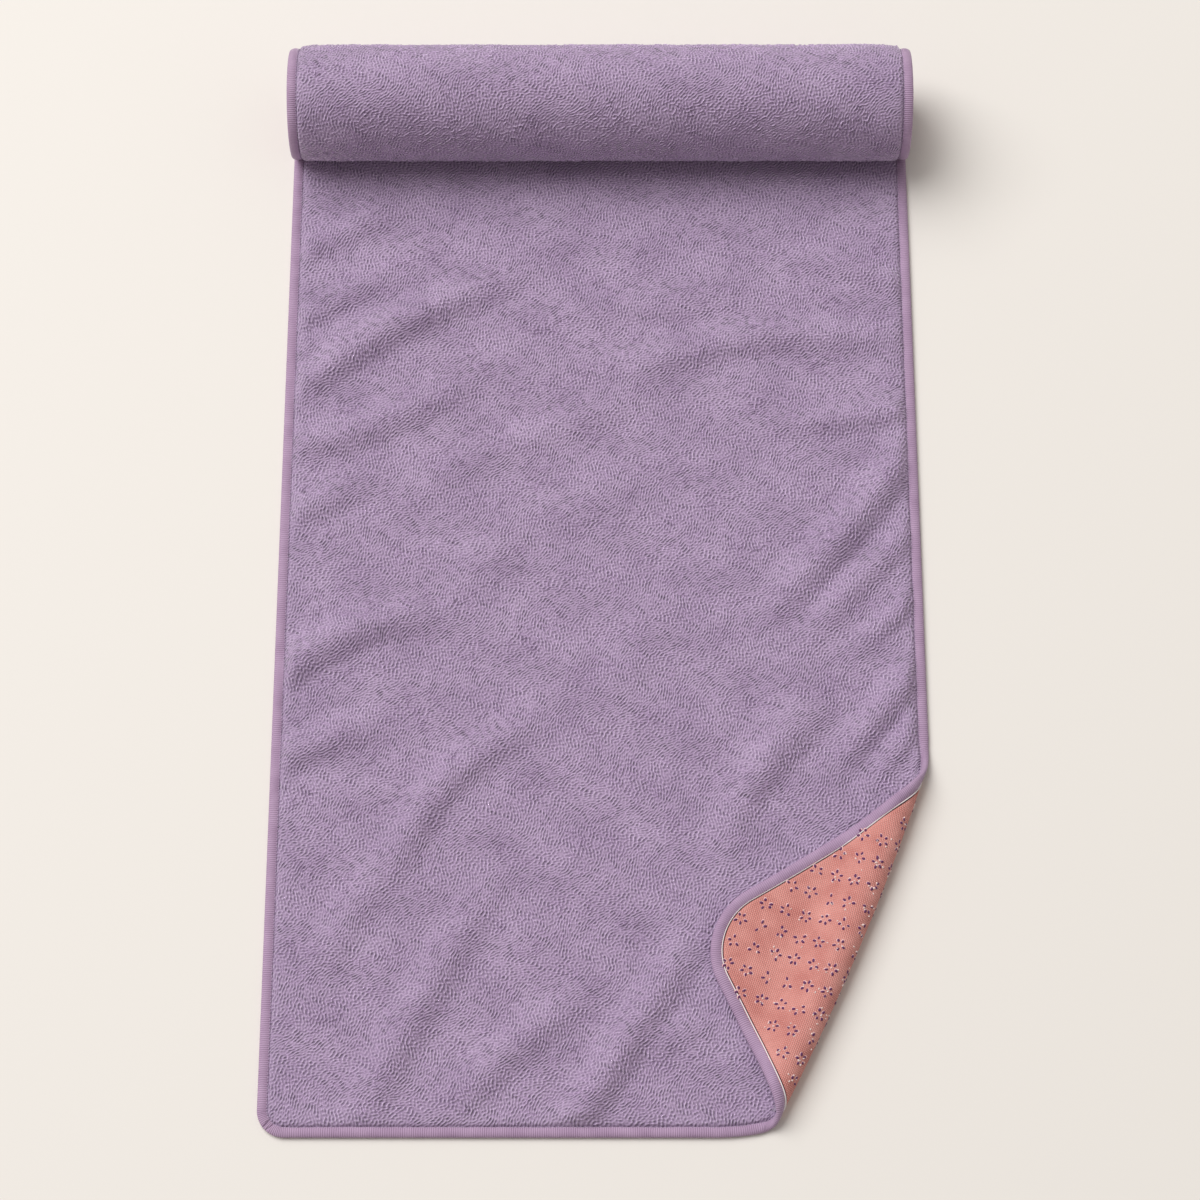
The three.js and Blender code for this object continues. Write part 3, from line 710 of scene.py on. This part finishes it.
# Painted light: the curls get a lighter copy of the same colour than the ground between them.
curl_finish = terry_material("terry_curls", 1.12)
roll_start = crease_from_front + crease_cloth
curl_pieces = [
    pile_curls("curls_front", low_y=0, high_y=325, seed=21),
    pile_curls("curls_middle", low_y=325, high_y=650, seed=22),
    pile_curls("curls_back", low_y=650, high_y=968, seed=23),
    pile_curls("curls_roll", low_y=roll_start + 12, high_y=roll_start + 300, seed=24),
]

# Grip backing
# The underside is a fine coral twill with raised dots in small rosettes, so that it holds
# to a mat. It shows where the corner is turned over, and between the turns of the roll.


weave_turns = (0.55, 2.05)


def grip_material():
    """Fine weave: two crossed sets of bands on the flat cloth, broken by noise."""
    material, tree, shader, place = new_material("grip_twill", 0.9, 0.2, (1, 0.8, 0.75))
    bands = []
    for turn in weave_turns:
        turned = add_node(tree, "ShaderNodeVectorRotate", {"Vector": place, "Angle": turn},
                          rotation_type="Z_AXIS")
        band = add_node(tree, "ShaderNodeTexWave",
                        {"Vector": turned.outputs[0], "Scale": 0.18, "Distortion": 1.6,
                         "Detail": 2.0, "Detail Scale": 1.2}, wave_type="BANDS",
                        bands_direction="X")
        bands.append(band.outputs["Fac"])
    weave = math_node(tree, "MULTIPLY", bands[0], bands[1])
    drift = add_node(tree, "ShaderNodeTexNoise", {"Vector": place, "Scale": 0.04,
                                                  "Detail": 4.0})
    tone = math_node(tree, "ADD", math_node(tree, "MULTIPLY", weave, 0.6),
                     math_node(tree, "MULTIPLY", drift.outputs["Fac"], 0.5))
    colour = ramp(tree, tone, [(0.12, (0.52, 0.155, 0.135)), (0.4, (0.83, 0.345, 0.30)),
                               (0.85, (1.0, 0.57, 0.52))])
    tree.links.new(colour, shader.inputs["Base Color"])
    bump = add_node(tree, "ShaderNodeBump", {"Height": weave, "Strength": 1.0,
                                             "Distance": 0.0008})
    tree.links.new(bump.outputs[0], shader.inputs["Normal"])
    return material


grip_insets = [2, 9.7, 10.4, 11.3, 12.2, 14.5]
grip_flat, grip_faces, grip_depth = panel_grid(step=4.0, inner_step=8.0,
                                               insets=grip_insets)
grip_height = np.interp(grip_depth, grip_insets, [1.3, 1.3, 1.0, 0.9, 0.15, 0.0])
grip_height = np.maximum(grip_height, np.interp(
    towel_length - grip_flat[:, 1], [2, 2.5, 4, 6, 9], [2.6, 1.6, 0.7, 0.2, 0]))
grip = make_piece("grip_cloth", laid(*grip_flat.T, grip_height), grip_faces[:, ::-1],
                  grip_flat)
grip.data.materials.append(grip_material())
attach(grip, "root")
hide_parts("grip_backing")

# Edge binding
# A ribbed tape about 25 mm wide is folded round the edge of both cloths and sewn through
# them. It is mitred with two small pleats at the square front corner.


def binding_material():
    """Ribs across the tape: a wave along the edge, which the UV map's second value gives."""
    material, tree, shader, place = new_material("ribbed_tape", 0.55, 0.3,
                                                 (0.95, 0.85, 1.0))
    ribs = add_node(tree, "ShaderNodeTexWave",
                    {"Vector": place, "Scale": 0.16, "Distortion": 1.4, "Detail": 3.0,
                     "Detail Scale": 0.6}, wave_type="BANDS", bands_direction="Y")
    drift = add_node(tree, "ShaderNodeTexNoise", {"Vector": place, "Scale": 0.05,
                                                  "Detail": 4.0})
    tone = math_node(tree, "ADD", math_node(tree, "MULTIPLY", ribs.outputs["Fac"], 0.3),
                     math_node(tree, "MULTIPLY", drift.outputs["Fac"], 0.62))
    colour = ramp(tree, tone, [(0.1, (0.31, 0.195, 0.315)), (0.5, (0.45, 0.305, 0.455)),
                               (0.9, (0.55, 0.39, 0.55))])
    tree.links.new(colour, shader.inputs["Base Color"])
    bump = add_node(tree, "ShaderNodeBump", {"Height": ribs.outputs["Fac"],
                                             "Strength": 0.8, "Distance": 0.0005})
    tree.links.new(bump.outputs[0], shader.inputs["Normal"])
    return material


# The tape's section round from its inner end on the grip side, with the height of each
# point and how far it swells out where the corner is turned over
binding_section = np.array([
    (9.7, 1.0, 0.5), (9.6, 0.3, 0.6), (8.4, 0.0, 0.1), (6.8, 0.0, -0.45), (5.0, 0.0, -0.7),
    (2.6, 0.05, -0.35), (1.1, 0.5, 0), (0.25, 1.4, 0), (0.0, 2.5, 0), (0.25, 3.5, 0),
    (1.0, 4.35, 0), (2.3, 5.0, 0), (4.2, 5.4, 0), (6.3, 5.2, 0), (8.0, 4.6, 0),
    (9.1, 3.9, 0), (9.5, 3.1, 0), (1.4, 3.05, 0), (1.4, 1.1, 0),
])
tape_step = 1.6
mitre_step = 0.4
mitre_reach = 24
tape_run = np.unique(np.r_[
    np.arange(1, edge_run[-1] - 1, tape_step),
    np.arange(left_corner - mitre_reach, left_corner + mitre_reach, mitre_step)])

# Pleats of the mitre: place along the edge from the corner, slant and depth
pleats = [(-3.4, -0.3, 2.3), (2.6, 0.3, 1.5)]
pleat_width = 0.7
tape_swell = 0.12


def tape_rows(run):
    """Flat points and heights of the tape's section at these lengths along the edge, with
    an uneven swell, two pleat grooves at the square corner, and a rounded grip side where
    the corner is turned over."""
    inset = np.broadcast_to(binding_section[:, 0], (len(run), len(binding_section))).copy()
    height = np.broadcast_to(binding_section[:, 1], inset.shape).copy()
    across = fold_place(*edge_spots(run, 5).T)[1]
    height += binding_section[:, 2] * ease((across - 14) / 16)[:, None]
    swell = waves(run, 0 * run, longest=60, shortest=14, count=10, seed=11)[:, None]
    crown = np.clip((height - 3.2) / 1.9, 0, 1)
    height += tape_swell * swell * crown
    inset += tape_swell * swell * (inset > 6)
    for from_corner, slant, deep in pleats:
        away = run[:, None] - (left_corner + from_corner) - slant * (inset - 5)
        height -= deep * crown * np.exp(-(away / pleat_width) ** 2)
    return edge_spots(run[:, None], inset), height


tape_flat, tape_height = tape_rows(tape_run)
tape_places = laid(tape_flat[..., 0], tape_flat[..., 1], tape_height)
tape_index = np.arange(tape_height.size).reshape(tape_height.shape)
tape_index = np.column_stack([tape_index, tape_index[:, 0]])
ends = [list(tape_index[0, :-1]), list(tape_index[-1, -2::-1])]
top_face = binding_section[:, 1] > 2.5
top_shift = 20
tape_uv = np.stack(np.broadcast_arrays((binding_section[:, 0] + top_shift * top_face)[None],
                                       tape_run[:, None]), axis=-1).reshape(-1, 2)
tape_faces = [list(map(int, face)) for face in quads(tape_index)]
tape = make_piece("edge_tape", tape_places.reshape(-1, 3), tape_faces + ends, tape_uv)
tape.data.materials.append(binding_material())
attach(tape, "root")
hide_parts("edge_binding")

# Stitching
# A row of short stitches holds the tape down beside the towelling. On the grip side of the
# turned corner a pale strand runs along the tape as a painted highlight on the backing's
# raised rim, and a dark strand beyond it as a painted shadow in the groove there.


def thread_material(name, colour, darker=0.7):
    """Spun thread: light and dark flecks, the dark ones darker times the colour."""
    material, tree, shader, place = new_material(name, 0.6, 0.2, (1, 1, 1))
    twist = add_node(tree, "ShaderNodeTexNoise", {"Vector": place, "Scale": 1.4})
    dark = tuple(darker * part for part in colour)
    tree.links.new(ramp(tree, twist.outputs["Fac"], [(0.3, dark), (0.7, colour)]),
                   shader.inputs["Base Color"])
    return material


def stitch_row(name, run, inset, long, half_wide, low, high, colour):
    """Stitches centred at these lengths along the edge: a straight strand each, with
    heights low and high in the cloth."""
    t = np.linspace(-1, 1, 4)
    middle = edge_spots(run[:, None] + t * long / 2, inset)
    swell = np.sqrt(1 - 0.9 * t ** 2)[None] * np.ones((len(run), 1))
    piece = strands(name, middle, half_wide * swell, low + 0 * swell,
                    low + (high - low) * swell)
    piece.data.materials.append(thread_material(name, colour))
    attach(piece, "root")
    return piece


stitch_pitch = 3.3
stitch_run = np.arange(4, edge_run[-1] - 4, stitch_pitch)
stitches = stitch_row("tape_stitches", stitch_run, inset=8.75, long=2.3, half_wide=0.32,
                      low=4.15, high=4.75, colour=(0.62, 0.5, 0.66))

# The painted highlight and shadow strands beside the seam run where the tape's inner edge
# is past the fold by 6 mm
turned_run = edge_run[fold_place(*edge_spots(edge_run, 9).T)[1] > 6]
seam_step = 1.2
seam_taper = 25
seam_run = np.arange(turned_run[0], turned_run[-1], seam_step)


def seam_line(name, inset, half_wide, low, high, colour):
    """One long strand along the turned corner's edge, tapered to nothing at its ends; it is
    used for the painted highlight and painted shadow there.
    """
    from_end = np.minimum(seam_run - seam_run[0], seam_run[-1] - seam_run)
    swell = np.maximum(np.sqrt(ease(from_end / seam_taper)), 0.05)[None]
    piece = strands(name, edge_spots(seam_run, inset)[None], half_wide * swell,
                    low + 0 * swell, low + (high - low) * swell)
    piece.data.materials.append(thread_material(name, colour, 0.9))
    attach(piece, "root")
    return piece


# Painted highlight: a pale strand for the light caught along the raised rim beside the tape.
seam_painted_highlight = seam_line("seam_painted_highlight", inset=10.4, half_wide=0.5, low=0.9, high=-0.5,
                      colour=(1.0, 0.92, 0.93))
# Painted shadow: a dark strand for the shade in the groove where the backing dips past the
# rim.
seam_painted_shadow = seam_line("seam_painted_shadow", inset=11.45, half_wide=0.55, low=1.0, high=0.1,
                        colour=(0.10, 0.03, 0.04))

# Grip dots
# Soft dark dots are printed on the backing in rosettes, in rows askew to the cloth, with
# small pale nubs between. Each dot sits on a paler ring, a raised rim painted pale and
# shifted toward the light as a painted highlight. They are made where the corner is turned
# over.


dome_sides = 8
dome_levels = np.array([0.0, 0.47, 0.94]) * np.pi / 2


def domes(name, middle, turn, long, wide, base, top, colour, roughness):
    """Low domes: rings of radius cos q at height sin q, stretched long by wide and turned,
    from base to top in the cloth."""
    ring = np.linspace(0, 2 * np.pi, dome_sides, endpoint=False)
    level = dome_levels
    x = long[:, None, None] * np.cos(level)[:, None] * np.cos(ring)
    y = wide[:, None, None] * np.cos(level)[:, None] * np.sin(ring)
    sine, cosine = np.sin(turn)[:, None, None], np.cos(turn)[:, None, None]
    flat = np.stack([middle[:, 0, None, None] + x * cosine - y * sine,
                     middle[:, 1, None, None] + x * sine + y * cosine], axis=-1)
    height = base + (top - base) * np.sin(level)[None, :, None] + 0 * x
    index = np.arange(height.size).reshape(height.shape)
    index = np.concatenate([index, index[..., :1]], axis=2)
    faces = np.stack([index[:, :-1, :-1], index[:, :-1, 1:], index[:, 1:, 1:],
                      index[:, 1:, :-1]], axis=-1).reshape(-1, 4)
    caps = index[:, -1, :-1]
    places = laid(flat[..., 0], flat[..., 1], height)
    piece = make_piece(name, places.reshape(-1, 3),
                       [list(map(int, face)) for face in faces[:, ::-1]]
                       + [list(map(int, cap)) for cap in caps[:, ::-1]], flat.reshape(-1, 2))
    material, tree, shader, place = new_material(name, roughness, 0.0, (1, 1, 1))
    mottle = add_node(tree, "ShaderNodeTexNoise", {"Vector": place, "Scale": 0.8})
    dark = tuple(0.75 * part for part in colour)
    tree.links.new(ramp(tree, mottle.outputs["Fac"], [(0.3, dark), (0.7, colour)]),
                   shader.inputs["Base Color"])
    piece.data.materials.append(material)
    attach(piece, "root")
    return piece


rosette_start = np.array([286.7, 158.2])
rosette_row = np.array([16.2, -9.0])
rosette_column = np.array([-11.6, -18.4])
rosette_past_fold = 11
dots_clear = 13


def edge_inside(spot):
    """True where a flat point is clear inside the cut edge: its distance along the inward
    direction at its nearest edge point is more than the clearance."""
    away = spot - np.stack([edge_x, edge_y], axis=1)
    nearest = np.argmin(np.hypot(*away.T))
    inward = np.array([-np.sin(edge_turn[nearest]), np.cos(edge_turn[nearest])])
    return away[nearest] @ inward > dots_clear


def rosettes():
    """Middles of the rosettes on the turned corner: p = start + i row + j column, shaken a
    little, where the cloth is turned and is clear of the tape."""
    draw = np.random.default_rng(31)
    i, j = (part.ravel() for part in np.meshgrid(np.arange(-30, 31), np.arange(-30, 31)))
    spots = rosette_start + i[:, None] * rosette_row + j[:, None] * rosette_column
    spots += draw.normal(0, 0.7, spots.shape)
    near = ((fold_place(*spots.T)[1] > rosette_past_fold) & (spots[:, 0] < 380)
            & (spots[:, 1] < 400) & (spots[:, 1] > -20))
    spots = spots[near]
    inside = np.array([edge_inside(spot) for spot in spots])
    return spots[inside]


rosette_middles = rosettes()
draw = np.random.default_rng(32)
petals = 5
petal_share = 0.9
rosette_count = len(rosette_middles)
petal_turn = (2 * np.pi * np.arange(petals) / petals
              + draw.uniform(0, 6, (rosette_count, 1))
              + draw.normal(0, 0.14, (rosette_count, petals)))
petal_reach = draw.normal(4.4, 0.4, petal_turn.shape)
petal_spots = rosette_middles[:, None] + np.stack(
    [petal_reach * np.cos(petal_turn), petal_reach * np.sin(petal_turn)], axis=-1)
there = draw.uniform(0, 1, petal_turn.shape) < petal_share
petal_spots, petal_turn = petal_spots[there], petal_turn[there]
petal_long = draw.uniform(1.6, 2.2, petal_turn.size)
petal_wide = draw.uniform(1.15, 1.5, petal_turn.size)
dots = domes("grip_dots", petal_spots, petal_turn, petal_long, petal_wide, base=0.1,
             top=-0.8, colour=(0.15, 0.04, 0.13), roughness=0.4)
# Painted highlight: the pale rings are shifted toward the light, for the light caught on the
# dots' raised rims.
painted_highlight_offset = np.array([0.1176, 0.1618])
halo_shift = draw.normal(0, 0.25, petal_spots.shape) + painted_highlight_offset
halos = domes("grip_halos", petal_spots + halo_shift, petal_turn, petal_long + 0.5,
              petal_wide + 0.45, base=0.25, top=-0.25, colour=(0.97, 0.60, 0.58),
              roughness=0.5)

# Nubs round each rosette, fewer of them further from the fold
nubs_each = 5
nub_spread = 3.6
nub_spots = np.repeat(rosette_middles, nubs_each, axis=0)
nub_spots = nub_spots + draw.normal(0, nub_spread, nub_spots.shape)
near_fold = fold_place(*nub_spots.T)[1] < draw.uniform(20, 120, len(nub_spots))
nub_spots = nub_spots[near_fold & (edge_depth(nub_spots) > dots_clear)]
nub_turn = draw.uniform(0, np.pi, len(nub_spots))
nub_long = draw.uniform(0.7, 1.4, nub_turn.size)
nub_wide = draw.uniform(0.55, 0.95, nub_turn.size)
nubs = domes("grip_nubs", nub_spots, nub_turn, nub_long, nub_wide, base=0.2, top=-0.95,
             colour=(1.0, 0.80, 0.76), roughness=0.35)

# Studio
# A plain pale floor, a broad soft light from the back left and a pale surround. The camera
# stands over the front edge and looks steeply down, as the photograph was taken.

floor_half = 6
floor_gap = 0.0005
floor_mesh = bpy.data.meshes.new("floor")
floor_mesh.from_pydata([(-floor_half, -floor_half, 0), (floor_half, -floor_half, 0),
                        (floor_half, floor_half, 0), (-floor_half, floor_half, 0)],
                       [], [(0, 1, 2, 3)])
floor = bpy.data.objects.new("floor", floor_mesh)
bpy.context.scene.collection.objects.link(floor)
floor_material = bpy.data.materials.new("pale_floor")
floor_material.use_nodes = True
floor_shader = floor_material.node_tree.nodes["Principled BSDF"]
floor_shader.inputs["Base Color"].default_value = (0.84, 0.80, 0.752, 1)
floor_shader.inputs["Roughness"].default_value = 0.9
floor_shader.inputs["Specular IOR Level"].default_value = 0.1
floor_mesh.materials.append(floor_material)
floor.location.z = -floor_gap

world = bpy.data.worlds.new("studio")
world.use_nodes = True
world.node_tree.nodes["Background"].inputs["Color"].default_value = (1.0, 0.965, 0.93, 1)
world.node_tree.nodes["Background"].inputs["Strength"].default_value = 0.36
bpy.context.scene.world = world


def soft_light(name, place, aim, size, power):
    """A square area light at place that faces aim."""
    light = bpy.data.lights.new(name, "AREA")
    light.size = size
    light.energy = power
    lamp = bpy.data.objects.new(name, light)
    bpy.context.scene.collection.objects.link(lamp)
    lamp.location = place
    lamp.rotation_euler = (Vector(aim) - Vector(place)).to_track_quat("-Z", "Y").to_euler()


soft_light("key", place=(-5.1, 4.2, 8.9), aim=(0, 0, 0), size=9.0, power=1260)

# The photograph's width and focal length in its own pixels, and the camera's place: in
# front of the towel, over the floor, and tilted by this angle from straight down
photo_width = 1200
photo_focus = 3188
camera_behind = 0.587
camera_up = 2.806
camera_tilt = np.radians(21.4)
camera_data = bpy.data.cameras.new("camera")
camera_data.sensor_width = 36
camera_data.lens = 36 * photo_focus / photo_width
camera = bpy.data.objects.new("camera", camera_data)
bpy.context.scene.collection.objects.link(camera)
camera.location = (0, cad_box[0][1] - camera_behind, camera_up)
camera.rotation_euler = (camera_tilt, 0, 0)
bpy.context.scene.camera = camera
bpy.context.scene.view_settings.view_transform = "Standard"
